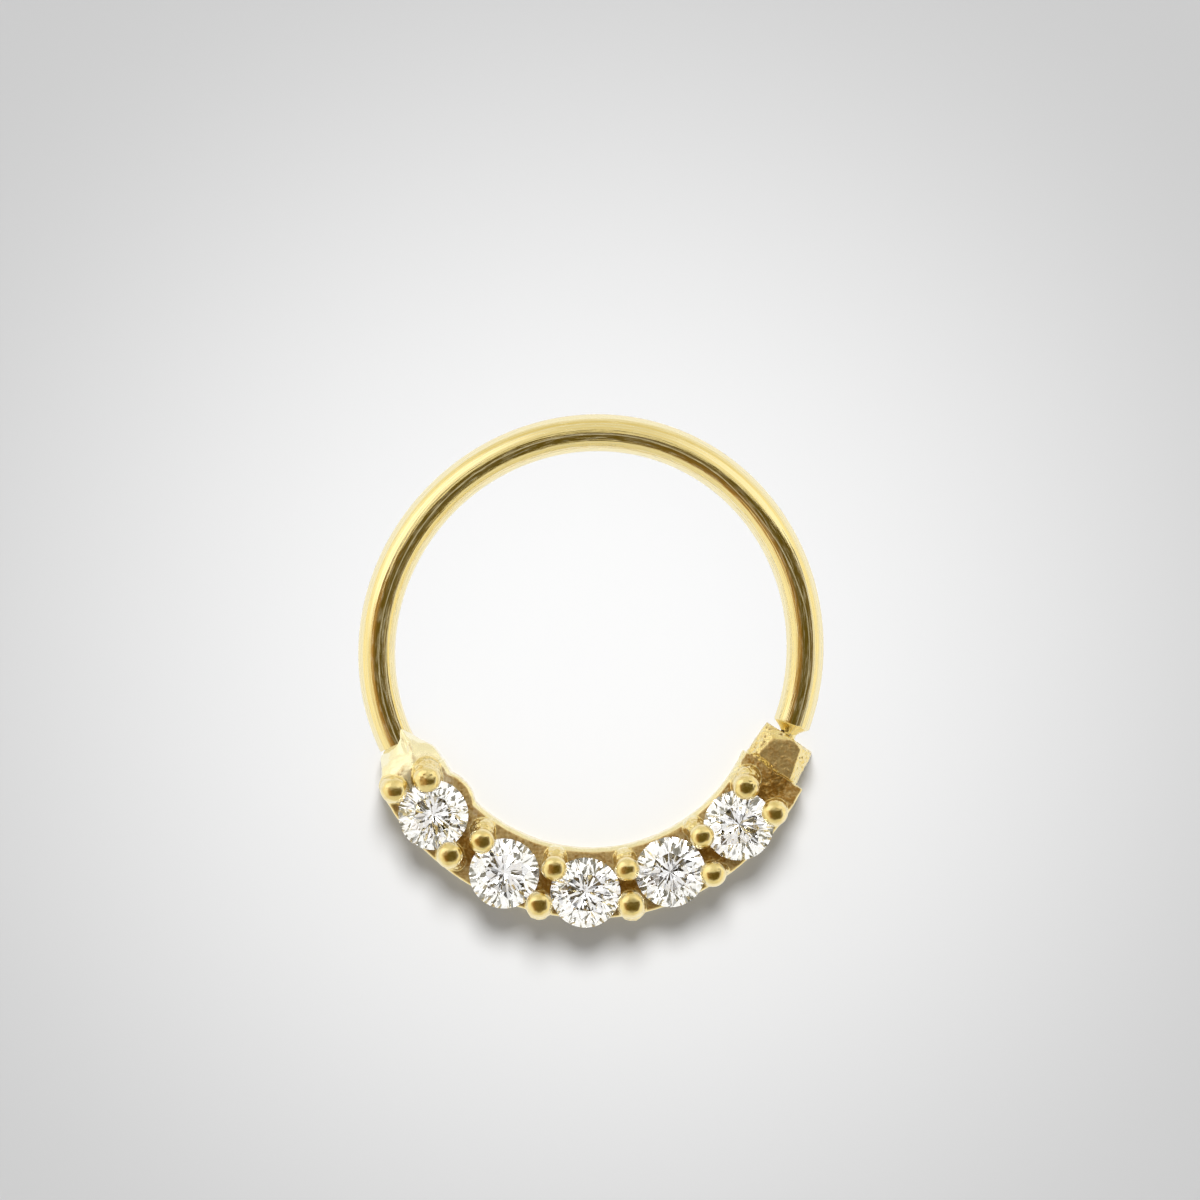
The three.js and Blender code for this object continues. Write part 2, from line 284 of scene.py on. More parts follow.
claws = {
    "foot": 0.45,               # height of the foot, inside the bar
    "shaftTop": 1.38,           # where the side turns into the bead
    "top": 1.6,
    "flatness": 0.82,           # under 1 flattens a bead's crown
    "domeSteps": 12,
    "shaft": [(0.6, 0.0), (0.95, 0.45), (1.0, 0.8)],    # part of the size, part of the shaft
    "neck": 0.97, "neckHeight": 0.05,
    "humpFoot": 0.9, "humpSide": 0.6, "humpSteps": 8, "humpSides": 32,
    "tip": 0.02,                # what is left open at the very top, part of the size
    "innerLean": 0.13, "outerLean": -0.04,
    # pair, side, angle, radius of its place, size; then the hump behind the bead: x, y, size, top
    "list": [
        (1, "inner", -59.1, 4.10, 0.30, 0.00, 0.16, 0.30, 1.44),
        (1, "outer", -61.1, 4.82, 0.29, -0.08, 0.05, 0.24, 1.36),
        (2, "inner", -34.4, 4.15, 0.28, 0.03, 0.22, 0.27, 1.32),
        (2, "outer", -39.1, 4.79, 0.29, 0.13, -0.14, 0.20, 1.28),
        (3, "inner", -11.1, 4.09, 0.28, 0.02, 0.22, 0.26, 1.24),
        (3, "outer", -13.1, 4.91, 0.29, 0.00, -0.06, 0.28, 1.34),
        (4, "inner", 10.9, 4.10, 0.27, -0.05, 0.20, 0.25, 1.26),
        (4, "outer", 10.2, 4.86, 0.30, 0.02, -0.07, 0.29, 1.36),
        (5, "inner", 35.6, 4.09, 0.27, -0.17, 0.19, 0.23, 1.34),
        (5, "outer", 32.4, 4.88, 0.28, 0.22, 0.06, 0.14, 1.18),
        (6, "inner", 55.8, 4.03, 0.29, 0.03, 0.20, 0.27, 1.38),
        (6, "outer", 54.4, 4.83, 0.29, 0.05, 0.05, 0.24, 1.34),
    ],
}


def claw(angle, radius, size, lean):
    foot = overBar(angle, radius - lean, claws["foot"])
    shaftTop = overBar(angle, radius, claws["shaftTop"])
    shaft = (shaftTop - foot).length
    bead = claws["top"] - claws["shaftTop"]
    profile = [(part * size, along * shaft) for part, along in claws["shaft"]]
    profile += [(claws["neck"] * size, shaft - claws["neckHeight"]), (size, shaft)]
    for i in range(1, claws["domeSteps"]):
        a = math.radians(90 * i / claws["domeSteps"])
        profile.append((size * math.cos(a) ** claws["flatness"], shaft + bead * math.sin(a)))
    profile.append((claws["tip"] * size, shaft + bead))
    return turned(profile, foot, shaftTop - foot)


def hump(angle, radius, offset, size, top):
    foot = overBar(angle, radius, claws["foot"]) + Vector((offset[0], offset[1], 0))
    rise = top - claws["foot"]
    side = claws["humpSide"]
    profile = [(claws["humpFoot"] * size, 0), (size, side * rise)]
    for i in range(1, claws["humpSteps"]):
        a = math.radians(90 * i / claws["humpSteps"])
        profile.append((size * math.cos(a), rise * (side + (1 - side) * math.sin(a))))
    profile.append((claws["tip"] * size, rise))
    return turned(profile, foot, up, claws["humpSides"])


def makeClaws():
    made = []
    for pair, side, angle, radius, size, dx, dy, humpSize, humpTop in claws["list"]:
        lean = claws["innerLean"] if side == "inner" else claws["outerLean"]
        made.append(claw(angle, radius, size, lean))
        made.append(hump(angle, radius, (dx, dy), humpSize, humpTop))
    return made


# sections from inside the bar to the leaf over the wire, each from the outer side to the inner one
shoulder = {
    # outer x, y, its top; ridge x, y, top; inner x, y, its top
    "sections": [
        (-4.28, -3.42, 0.95, -3.75, -3.15, 1.05, -3.00, -2.82, 0.95),
        (-4.57, -3.00, 0.92, -3.86, -2.78, 1.10, -3.08, -2.61, 0.93),
        (-4.53, -2.75, 0.86, -3.86, -2.49, 1.09, -3.22, -2.37, 0.90),
        (-4.52, -2.56, 0.78, -3.84, -2.30, 1.03, -3.33, -2.19, 0.84),
        (-4.54, -2.44, 0.68, -3.88, -2.15, 0.96, -3.46, -2.06, 0.78),
        (-4.55, -2.36, 0.55, -4.00, -1.90, 0.86, -3.72, -1.93, 0.68),
        (-4.54, -2.30, 0.42, -4.10, -1.70, 0.78, -4.00, -1.73, 0.55),
    ],
    "steps": 60, "crown": 0.04,                 # how far the outer slope bulges
}


def makeShoulder():
    rings = []
    for i in range(shoulder["steps"] + 1):
        ox, oy, ot, rx, ry, rt, ix, iy, it = spline(shoulder["sections"], i / shoulder["steps"])
        outer, ridge, inner = Vector((ox, oy, ot)), Vector((rx, ry, rt)), Vector((ix, iy, it))
        lift = up * shoulder["crown"]
        rings.append([
            (ox, oy, 0.0), (ox, oy, 0.5 * ot), outer, outer.lerp(ridge, 0.3) + lift,
            outer.lerp(ridge, 0.65) + lift, ridge, ridge.lerp(inner, 0.5), inner,
            (ix, iy, 0.5 * it), (ix, iy, 0.0),
        ])
    return ringsToMesh(rings)


clasp = {
    "mouthX": 4.2, "mouthY": -1.88, "facing": 33.7,
    "barCut": 0.78, "offcutSize": 3.0,
    "pinHole": 0.21, "pinHoleSides": 48,
    "pinHoleFrom": 0.1, "pinHoleTo": 0.9,       # past the wire's end
    # across the mouth, into the block, height
    "corners": [
        (-0.55, 0.0, 0.0), (0.62, 0.0, 0.0), (0.70, 0.74, 0.0), (-0.55, 0.8, 0.0),
        (-0.55, 0.0, 0.88), (0.62, 0.03, 0.84), (0.70, 0.74, 0.84), (-0.55, 0.8, 0.9),
    ],
    "face": [
        (-0.25, 0.22, 1.13), (0.157, 0.0, 1.14), (0.36, 0.07, 1.13), (0.543, 0.764, 1.11),
        (-0.338, 0.664, 1.10),
    ],
}

facing = math.radians(clasp["facing"])
across = Vector((math.cos(facing), -math.sin(facing), 0))
inwards = Vector((-math.sin(facing), -math.cos(facing), 0))
mouth = Vector((clasp["mouthX"], clasp["mouthY"], 0))
claspFrame = Matrix((
    (across.x, inwards.x, 0, mouth.x), (across.y, inwards.y, 0, mouth.y), (0, 0, 1, 0), (0, 0, 0, 1),
))


def makeClasp():
    return hull([claspFrame @ Vector(p) for p in clasp["corners"] + clasp["face"]])


def barOffcut():
    # what the saw takes off the bar's end
    size = clasp["offcutSize"]
    points = [claspFrame @ Vector((x * size, clasp["barCut"] - y * size, z * size))
              for x in (-0.5, 0.5) for y in (0, 1) for z in (-0.5, 0.5)]
    return hull(points, "offcut")


def stoneLevels():
    d = 2 * stones["radius"]
    top = stones["girdleHeight"] + stones["girdle"] * d / 2
    bottom = stones["girdleHeight"] - stones["girdle"] * d / 2
    tableTop = top + stones["crown"] * d
    tableRadius = stones["table"] * stones["radius"]
    slope = (tableTop - top) / (stones["radius"] - tableRadius)
    halfCos = math.cos(math.pi / 8)
    starRadius = tableRadius * halfCos + (stones["radius"] - tableRadius * halfCos) * stones["star"]
    return {
        "girdleTop": top, "girdleBottom": bottom, "tableTop": tableTop, "tableRadius": tableRadius,
        "starRadius": starRadius, "starHeight": tableTop - slope * (starRadius * halfCos - tableRadius),
        "culet": bottom - stones["pavilion"] * d, "pavilionSlope": 2 * stones["pavilion"],
    }


def makeSeat(angle, radius):
    level = stoneLevels()
    gap = stones["gap"]
    rim = stones["radius"] + gap
    hole = stones["lightHole"]
    rimBottom = level["girdleBottom"] - gap
    profile = [
        (hole, -0.1), (hole, rimBottom - level["pavilionSlope"] * (rim - hole)), (rim, rimBottom),
        (rim, level["girdleTop"] + gap), (level["starRadius"] + gap, level["starHeight"] + gap),
        (level["tableRadius"] + gap, level["tableTop"] + gap),
    ]
    return turned(profile, overBar(angle, radius), up, stones["seatSides"])


def makePinHole():
    end = alongHoop(wire["endAngle"])
    onwards = end - alongHoop(wire["endAngle"] - 0.5)
    profile = [(clasp["pinHole"], clasp["pinHoleFrom"]), (clasp["pinHole"], clasp["pinHoleTo"])]
    return turned(profile, end, onwards, clasp["pinHoleSides"])


def cut(obj, cutter):
    tool = asObject(cutter, "cutter")
    mod = obj.modifiers.new("cut", "BOOLEAN")
    mod.operation = "DIFFERENCE"
    mod.solver = "MANIFOLD"
    mod.object = tool
    applyModifiers(obj)
    bpy.data.objects.remove(tool)


setting = {
    "voxel": 0.024,
    "smoothing": 3,
    "waviness": 0.006, "waveSize": 0.45, "ripple": 0.009, "rippleSize": 0.2,
    "pitting": 0.032, "pitSize": 0.075,
    # part of that on the clasp, on the floor by it, on the swelling's rim and on the humps
    "claspPits": 0.9, "floorPits": 0.45, "rimPits": 0.22, "humpPits": 0.7,
    # where a zone begins to fade in or out, and where that ends: into the clasp, heights, off the rim
    "floorFrom": (0.74, 0.8), "faceFrom": (1.07, 1.1), "pitsFrom": (0.6, 0.82),
    "rimFrom": (-0.16, -0.05), "rimTo": (0.02, 0.1),
    "humpLow": 1.03, "humpHigh": 1.5, "humpFade": 0.03,
    "dentX": -4.04, "dentY": -2.03, "dentTurn": -70.0,
    "dentLong": 0.15, "dentWide": 0.05, "dentDepth": 0.05,
    "mostTriangles": 190000, "sharpAngle": 42.0,
}


intoClasp = claspFrame.inverted()


def roughSpots(point):
    # how pitted the cast skin is left at a point, 0 to 1
    inClasp = intoClasp @ point
    spots = 0.0
    if -0.8 < inClasp.x < 0.9 and -0.1 < inClasp.y < 1.3:
        onFloor = smoothstep(*setting["floorFrom"], inClasp.y)
        onFace = smoothstep(*setting["faceFrom"], point.z) * (1 - onFloor)
        spots = setting["claspPits"] * (1 - onFace) * smoothstep(*setting["pitsFrom"], point.z)
        spots *= 1 - (1 - setting["floorPits"]) * onFloor
    rim = fromSwelling(point) - swelling["size"]
    onRim = smoothstep(*setting["rimFrom"], rim) * (1 - smoothstep(*setting["rimTo"], rim))
    return max(spots, setting["rimPits"] * onRim)


humps = []
for pair, side, angle, radius, size, dx, dy, humpSize, humpTop in claws["list"]:
    bead = overBar(angle, radius)
    humps.append((bead + Vector((dx, dy, 0)), humpSize, bead, size))


def hammered(point):
    # the humps behind the beads are rough, the beads are not
    if not setting["humpLow"] < point.z < setting["humpHigh"]:
        return 0.0
    fade = setting["humpFade"]
    for place, size, bead, beadSize in humps:
        if math.hypot(point.x - place.x, point.y - place.y) < size + fade:
            offBead = math.hypot(point.x - bead.x, point.y - bead.y) - beadSize
            return setting["humpPits"] * smoothstep(0.0, fade, offBead)
    return 0.0


def dent(point):
    # the drop-shaped hollow that the file left in the shoulder's ridge
    if point.z < 0.6:
        return 0.0
    x, y = point.x - setting["dentX"], point.y - setting["dentY"]
    a = math.radians(setting["dentTurn"])
    along = (x * math.cos(a) + y * math.sin(a)) / setting["dentLong"]
    aside = (y * math.cos(a) - x * math.sin(a)) / setting["dentWide"]
    return setting["dentDepth"] * math.exp(-(along ** 2 + aside ** 2))


def makeSetting():
    body = asObject(makeBar(), "bar_body")
    cut(body, barOffcut())
    parts = [body.data.copy(), makeSwelling(), makeShoulder(), makeClasp()] + makeClaws()
    bpy.data.objects.remove(body)
    obj = asObject(joined(parts, "stone_setting"), "stone_setting")
    remesh = obj.modifiers.new("fuse", "REMESH")
    remesh.mode = "VOXEL"
    remesh.voxel_size = setting["voxel"]
    soften = obj.modifiers.new("soften", "SMOOTH")
    soften.factor = 0.5
    soften.iterations = setting["smoothing"]
    applyModifiers(obj)
    print("setting fused:", len(obj.data.polygons), "faces")

    mesh = obj.data
    moved = []
    for p, n in pointsAndNormals(mesh):
        wave = noise.noise(p / setting["waveSize"]) * setting["waviness"]
        wave += noise.noise(p / setting["rippleSize"]) * setting["ripple"]
        spots = max(roughSpots(p), hammered(p))
        pit = 0.0
        if spots > 0:
            pit = noise.turbulence(p / setting["pitSize"], 3, False) * setting["pitting"] * spots
        p = p + n * (wave - pit - dent(p))
        moved.append((p.x, p.y, max(p.z, 0.0)))     # it rests on its flat back
    mesh.vertices.foreach_set("co", np.asarray(moved, np.float32).ravel())
    mesh.update()

    cutters = [makeSeat(angle, radius) for angle, radius, turn in stones["places"]] + [makePinHole()]
    for cutter in cutters:
        cut(obj, cutter)
    mesh = obj.data
    triangles = sum(len(p.vertices) - 2 for p in mesh.polygons)
    print("setting cut:", triangles, "triangles")
    if triangles > setting["mostTriangles"]:
        thin = obj.modifiers.new("thin", "DECIMATE")
        thin.ratio = setting["mostTriangles"] / triangles
        applyModifiers(obj)
    obj.data.shade_smooth()
    obj.data.set_sharp_from_angle(angle=math.radians(setting["sharpAngle"]))
    obj.data.materials.clear()      # cutting leaves empty slots behind
    return obj


def makeBrilliant(index, angle, radius, turn):
    # hand-cut facets: each corner is a little off its place
    chance = random.Random(index)

    def off(point, amount=stones["offCut"]):
        return point + Vector([chance.uniform(-amount, amount) for axis in range(3)])

    level = stoneLevels()
    girdleRadius = stones["radius"]
    half = math.pi / 8
    halfCos = math.cos(half)
    tipRadius = girdleRadius * (1 - stones["lowerHalf"])
    tipHeight = level["culet"] + level["pavilionSlope"] * tipRadius * halfCos

    def ring(steps, distance, height):
        a = steps * half + math.radians(turn)
        return Vector((distance * math.cos(a), distance * math.sin(a), height))

    def girdleEdge(corner, tip, height, parts=6):
        # a half facet runs out to the round girdle and scallops its edge
        a, b = ring(corner, girdleRadius, height), ring(corner + 1, girdleRadius, height)
        normal = (a - tip).cross(b - tip)
        points = []
        for i in range(parts + 1):
            p = ring(corner + i / parts, girdleRadius, 0)
            p.z = tip.z - (normal.x * (p.x - tip.x) + normal.y * (p.y - tip.y)) / normal.z
            points.append(p)
        return points

    tables = [off(ring(2 * k, level["tableRadius"], level["tableTop"])) for k in range(8)]
    stars = [off(ring(2 * k + 1, level["starRadius"], level["starHeight"])) for k in range(8)]
    tips = [off(ring(2 * k + 1, tipRadius, tipHeight), 2 * stones["offCut"]) for k in range(8)]
    culet = off(Vector((0, 0, level["culet"])), 1.5 * stones["offCut"])
    for corner in tables:
        corner.z = level["tableTop"]        # the table stays flat
    faces = [tables]
    for k in range(8):
        star, lastStar, tip, lastTip = stars[k], stars[k - 1], tips[k], tips[k - 1]
        bezelFoot = ring(2 * k, girdleRadius, level["girdleTop"])
        mainFoot = ring(2 * k, girdleRadius, level["girdleBottom"])
        faces += [[tables[k], star, tables[(k + 1) % 8]],
                  [tables[k], lastStar, bezelFoot], [tables[k], bezelFoot, star],
                  [culet, tip, mainFoot], [culet, mainFoot, lastTip]]
        for corner in (2 * k, 2 * k + 1):
            upper = girdleEdge(corner, star, level["girdleTop"])
            lower = girdleEdge(corner, tip, level["girdleBottom"])
            faces.append([star] + upper)
            faces.append([tip] + lower[::-1])
            for a, b, c, d in zip(upper, lower, lower[1:], upper[1:]):
                faces.append([a, b, c, d])
    bm = bmesh.new()
    for face in faces:
        bm.faces.new([bm.verts.new(p) for p in face])
    bmesh.ops.remove_doubles(bm, verts=bm.verts, dist=1e-4)
    bmesh.ops.recalc_face_normals(bm, faces=bm.faces)
    mesh = bpy.data.meshes.new(f"brilliant_{index}")
    bm.to_mesh(mesh)
    bm.free()
    mesh.transform(Matrix.Translation(overBar(angle, radius)))
    mesh.shade_flat()
    return asObject(mesh, f"brilliant_{index}")


gold = {
    "colour": (0.93, 0.84, 0.56),
    "shade": (0.88, 0.74, 0.38),
    "castColour": (0.93, 0.82, 0.50), "castShade": (0.86, 0.69, 0.34),
    # a pale colour painted on as sheen, on the shoulder and the bar's inner edge
    "paintedSheen": (0.97, 0.92, 0.69),
    # brown for the stain on the bar, also used as painted shade in the gaps between the stones
    "stainAndShade": (0.46, 0.26, 0.07),
    "paleGlow": 0.26, "matteGlow": 0.28,           # how satin the places with painted sheen are
    # a painted highlight line along the wire, drawn as duller metal: degrees from the hoop's top, and
    # round the wire
    "highlightLine": [(-116, 5), (-90, 7), (-70, 11), (-45, 9), (-10, 5), (34, 7), (48, 12), (60, 5), (72, -3),
                (85, -12), (111, -14)],
    # the painted highlight line's width, its wander, its reach round the wire and how much it dulls the
    # metal
    "highlightLineWidth": 1.7, "highlightLineWander": 1.2, "highlightLineReach": 20.0, "highlightLineDepth": 0.38,
    # drawing marks: how fast they change along the wire and round it, and how much they dull it
    "streakStretch": (0.22, 5, 5), "scuffStretch": (3.0, 12, 12), "lineStretch": (0.06, 11, 11),
    "scuffsFrom": 0.5, "scuffs": 1.3, "marksFrom": 0.58, "marks": 0.8,
    "wireRoughness": (0.03, 0.13), "castRoughness": (0.16, 0.48),
    "grain": 7, "lumps": 3.2, "crumbs": 16,         # the cast skin's noise, per mm
}


def newMaterial(name):
    mat = bpy.data.materials.new(name)
    mat.use_nodes = True
    nodes = mat.node_tree.nodes
    nodes.clear()
    out = nodes.new("ShaderNodeOutputMaterial")
    shader = nodes.new("ShaderNodeBsdfPrincipled")
    mat.node_tree.links.new(shader.outputs[0], out.inputs[0])
    return mat, shader


def treeOf(mat):
    return mat.node_tree.nodes, mat.node_tree.links


def goldRamp(nodes, links, factor, shade, colour, darkest, brightest):
    ramp = nodes.new("ShaderNodeValToRGB")
    ramp.color_ramp.elements[0].position = darkest
    ramp.color_ramp.elements[0].color = (*shade, 1)
    ramp.color_ramp.elements[1].position = brightest
    ramp.color_ramp.elements[1].color = (*colour, 1)
    links.new(factor, ramp.inputs["Fac"])
    return ramp.outputs["Color"]


def mixNode(nodes, links, factor, a, b):
    node = nodes.new("ShaderNodeMix")
    node.data_type = "RGBA"
    links.new(factor, node.inputs["Factor"])
    for name, value in (("A", a), ("B", b)):
        if isinstance(value, tuple):
            node.inputs[name].default_value = (*value, 1)
        else:
            links.new(value, node.inputs[name])
    return node.outputs["Result"]


def mapRange(nodes, links, value, low, high, lowFrom=0.0, highFrom=1.0, smooth=False):
    node = nodes.new("ShaderNodeMapRange")
    if smooth:
        node.interpolation_type = "SMOOTHSTEP"
    node.inputs["From Min"].default_value = lowFrom
    node.inputs["From Max"].default_value = highFrom
    node.inputs["To Min"].default_value = low
    node.inputs["To Max"].default_value = high
    links.new(value, node.inputs["Value"])
    return node.outputs["Result"]


def mathNode(nodes, links, kind, a, b=0.0, c=0.0):
    node = nodes.new("ShaderNodeMath")
    node.operation = kind
    for socket, value in zip(node.inputs, (a, b, c)):
        if isinstance(value, (int, float)):
            socket.default_value = value
        else:
            links.new(value, socket)
    return node.outputs["Value"]


def noiseNode(nodes, links, vector, scale, detail):
    node = nodes.new("ShaderNodeTexNoise")
    node.inputs["Scale"].default_value = scale
    node.inputs["Detail"].default_value = detail
    links.new(vector, node.inputs["Vector"])
    return node.outputs["Fac"]


def stretchNode(nodes, links, vector, scale):
    node = nodes.new("ShaderNodeMapping")
    node.inputs["Scale"].default_value = scale
    links.new(vector, node.inputs["Vector"])
    return node.outputs["Vector"]


def bumpNode(nodes, links, height, distance, before=None):
    node = nodes.new("ShaderNodeBump")
    node.inputs["Strength"].default_value = 1
    node.inputs["Distance"].default_value = distance * mm
    links.new(height, node.inputs["Height"])
    if before is not None:
        links.new(before, node.inputs["Normal"])
    return node.outputs["Normal"]


def overLevel(nodes, links, value, level, slope):
    # nothing up to a level, and rising from there
    kept = mathNode(nodes, links, "MAXIMUM", value, level)
    return mathNode(nodes, links, "MULTIPLY_ADD", kept, slope, -slope * level)


# painted highlight: the thin bright line along the wire
def paintedHighlightLine(nodes, links, along):
    # its path is a curve over the wire's length, drawn between the two ends of its reach
    reach, wander = math.radians(gold["highlightLineReach"]), math.radians(gold["highlightLineWander"])
    apart = nodes.new("ShaderNodeSeparateXYZ")
    links.new(along, apart.inputs[0])
    path = nodes.new("ShaderNodeFloatCurve")
    first, last = gold["highlightLine"][0][0], gold["highlightLine"][-1][0]
    curve = path.mapping.curves[0]
    rows = [((a - first) / (last - first), 0.5 + turn / (2 * gold["highlightLineReach"]))
            for a, turn in gold["highlightLine"]]
    curve.points[0].location = rows[0]
    curve.points[-1].location = rows[-1]
    for row in rows[1:-1]:
        curve.points.new(*row)
    path.mapping.update()
    hoopLength = math.radians(last - first) * wire["hoopRadius"]
    links.new(mathNode(nodes, links, "DIVIDE", apart.outputs["X"], hoopLength), path.inputs["Value"])
    place = mathNode(nodes, links, "MULTIPLY_ADD", path.outputs["Value"], 2 * reach, -reach)
    specks = noiseNode(nodes, links, stretchNode(nodes, links, along, gold["streakStretch"]), 1.6, 3)
    shaken = mathNode(nodes, links, "MULTIPLY_ADD", specks, wander, -0.5 * wander)
    place = mathNode(nodes, links, "ADD", place, shaken)
    turn = mathNode(nodes, links, "ARCTAN2", apart.outputs["Y"], apart.outputs["Z"])
    off = mathNode(nodes, links, "ABSOLUTE", mathNode(nodes, links, "SUBTRACT", turn, place))
    edge = 2 * math.radians(gold["highlightLineWidth"])
    return mapRange(nodes, links, off, gold["highlightLineDepth"], 0.0, 0.0, edge, smooth=True)


def drawnGold():
    mat, shader = newMaterial("drawn gold")
    nodes, links = treeOf(mat)
    draw = nodes.new("ShaderNodeAttribute")
    draw.attribute_name = "draw"
    along = draw.outputs["Vector"]
    streaks = noiseNode(nodes, links, stretchNode(nodes, links, along, gold["streakStretch"]), 1, 5)
    fine = noiseNode(nodes, links, stretchNode(nodes, links, along, gold["scuffStretch"]), 1, 4)
    lines = noiseNode(nodes, links, stretchNode(nodes, links, along, gold["lineStretch"]), 1, 2)
    colour = goldRamp(nodes, links, lines, gold["shade"], gold["colour"], 0.3, 0.55)
    links.new(colour, shader.inputs["Base Color"])
    links.new(mapRange(nodes, links, streaks, *gold["wireRoughness"]), shader.inputs["Roughness"])

    # scuffs and marks scatter light, the polished skin between them mirrors it; the long line is a painted
    # highlight, less metal so that it shows bright
    scuffs = overLevel(nodes, links, fine, gold["scuffsFrom"], gold["scuffs"])
    marks = overLevel(nodes, links, lines, gold["marksFrom"], gold["marks"])
    highlightLine = paintedHighlightLine(nodes, links, along)
    dull = mathNode(nodes, links, "ADD", mathNode(nodes, links, "ADD", scuffs, marks), highlightLine)
    links.new(mathNode(nodes, links, "SUBTRACT", 1.0, dull), shader.inputs["Metallic"])
    normal = bumpNode(nodes, links, streaks, 0.012)
    links.new(bumpNode(nodes, links, fine, 0.002, normal), shader.inputs["Normal"])
    return mat


finishAndPaintedLightNames = ("matte", "stainAndShade", "paintedSheen")


def castGold():
    mat, shader = newMaterial("cast gold")
    nodes, links = treeOf(mat)
    place = nodes.new("ShaderNodeTexCoord")
    inMm = stretchNode(nodes, links, place.outputs["Object"], (1000, 1000, 1000))
    grain = noiseNode(nodes, links, inMm, gold["grain"], 6)
    lumps = noiseNode(nodes, links, inMm, gold["lumps"], 2)
    crumbs = noiseNode(nodes, links, inMm, gold["crumbs"], 3)
    matte, stainAndShade, paintedSheen = [nodes.new("ShaderNodeAttribute") for name in finishAndPaintedLightNames]
    for mark, name in zip((matte, stainAndShade, paintedSheen), finishAndPaintedLightNames):
        mark.attribute_name = name
    clean = goldRamp(nodes, links, grain, gold["castShade"], gold["castColour"], 0.25, 0.6)
    # painted sheen: the pale colour on the shoulder and the bar's inner edge
    clean = mixNode(nodes, links, paintedSheen.outputs["Fac"], clean, gold["paintedSheen"])
    mottled = mapRange(nodes, links, mathNode(nodes, links, "ADD", grain, crumbs), 0.0, 2.0, 0.5, 1.5)
    # darker towards brown with the stain, and with painted shade in the gaps between the stones
    dirtAndShade = mathNode(nodes, links, "MULTIPLY", stainAndShade.outputs["Fac"], mottled)
    dirtAndShade = mathNode(nodes, links, "MAXIMUM", mathNode(nodes, links, "MINIMUM", dirtAndShade, 1.0), 0.0)
    links.new(mixNode(nodes, links, dirtAndShade, clean, gold["stainAndShade"]), shader.inputs["Base Color"])
    satin = mathNode(nodes, links, "MULTIPLY_ADD", paintedSheen.outputs["Fac"], -gold["paleGlow"], 1.0)
    links.new(mathNode(nodes, links, "MULTIPLY_ADD", matte.outputs["Fac"], -gold["matteGlow"], satin),
              shader.inputs["Metallic"])
    dullness = mapRange(nodes, links, matte.outputs["Fac"], *gold["castRoughness"])
    links.new(mathNode(nodes, links, "MULTIPLY_ADD", grain, 0.16, dullness), shader.inputs["Roughness"])
    normal = bumpNode(nodes, links, lumps, 0.03)
    normal = bumpNode(nodes, links, mathNode(nodes, links, "MULTIPLY", crumbs, dirtAndShade), 0.015, normal)
    links.new(bumpNode(nodes, links, grain, 0.004, normal), shader.inputs["Normal"])
    return mat


def clearStone():
    mat, shader = newMaterial("clear stone")
    shader.inputs["Base Color"].default_value = (1, 1, 1, 1)
    shader.inputs["Roughness"].default_value = 0
    shader.inputs["IOR"].default_value = stones["refraction"]
    shader.inputs["Transmission Weight"].default_value = 1
    return mat


finishAndPaintedLight = {
    # each pair is where a zone begins to fade in or out, and where that ends
    "facesUp": (0.85, 0.97), "topFrom": (0.88, 0.93), "topTo": (1.03, 1.08),
    "barFrom": (3.4, 3.5), "barTo": (5.2, 5.3),
    "gapFrom": (4.15, 4.35), "gapTo": (4.7, 4.85),
    "byClasp": (0.72, 0.78),
    "claspFaceMatte": 0.5, "claspFaceStain": 0.55,
    # stain on the bar's face and by the clasp; the extra brown in the gaps between the stones is painted
    # shade
    "barStain": 0.68, "gapStainAndShade": 1.0, "claspStain": 0.9, "gapMatte": 0.25,
    "shoulderFrom": (-3.25, -3.05), "shoulderTo": (-3.05, -2.95), "shoulderHeight": (0.3, 0.5),
    "beadClear": (0.02, 0.06),
    # where the painted sheen along the bar's inner edge lies, and how strong it is
    "edgeWidth": (0.07, 0.1), "swellingEdge": (-0.07, -0.04),
    "edgeFrom": (0.82, 0.87), "edgeTo": (1.0, 1.04), "edgeSheen": 0.8,
}

firstBeads = []
for pair, side, angle, radius, size, dx, dy, humpSize, humpTop in claws["list"][:2]:
    place = overBar(angle, radius)
    firstBeads += [(place, size), (place + Vector((dx, dy, 0)), humpSize)]


def zone(name, x):
    return smoothstep(*finishAndPaintedLight[name], x)


def barTop(p, n, radius):
    # 1 on the bar's face, 0 on its sides and on all that stands on it
    shown = zone("facesUp", n.z) * zone("topFrom", p.z) * (1 - zone("topTo", p.z))
    return shown * zone("barFrom", radius) * (1 - zone("barTo", radius))


def onClaspFace(p, n, inClasp):
    return n.z > 0.9 and p.z > 1.05 and -0.4 < inClasp.x < 0.6 and -0.05 < inClasp.y < 0.8


# painted sheen on the shoulder, kept off the first beads
def shoulderSheen(p):
    flat = Vector((p.x, p.y, 0))
    clear = min((flat - place).length - size for place, size in firstBeads)
    shown = zone("shoulderFrom", p.y) * (1 - zone("shoulderTo", p.x)) * zone("shoulderHeight", p.z)
    return shown * zone("beadClear", clear)


# painted sheen along the bar's inner edge and round the swelling
def innerEdge(p, radius):
    rim = fromSwelling(p) - swelling["size"]
    shown = 1 - zone("edgeWidth", radius - bar["inner"])
    if rim < 0.05:
        shown = zone("swellingEdge", rim) if radius < 3.8 else 0.0
    return shown * zone("edgeFrom", p.z) * (1 - zone("edgeTo", p.z))


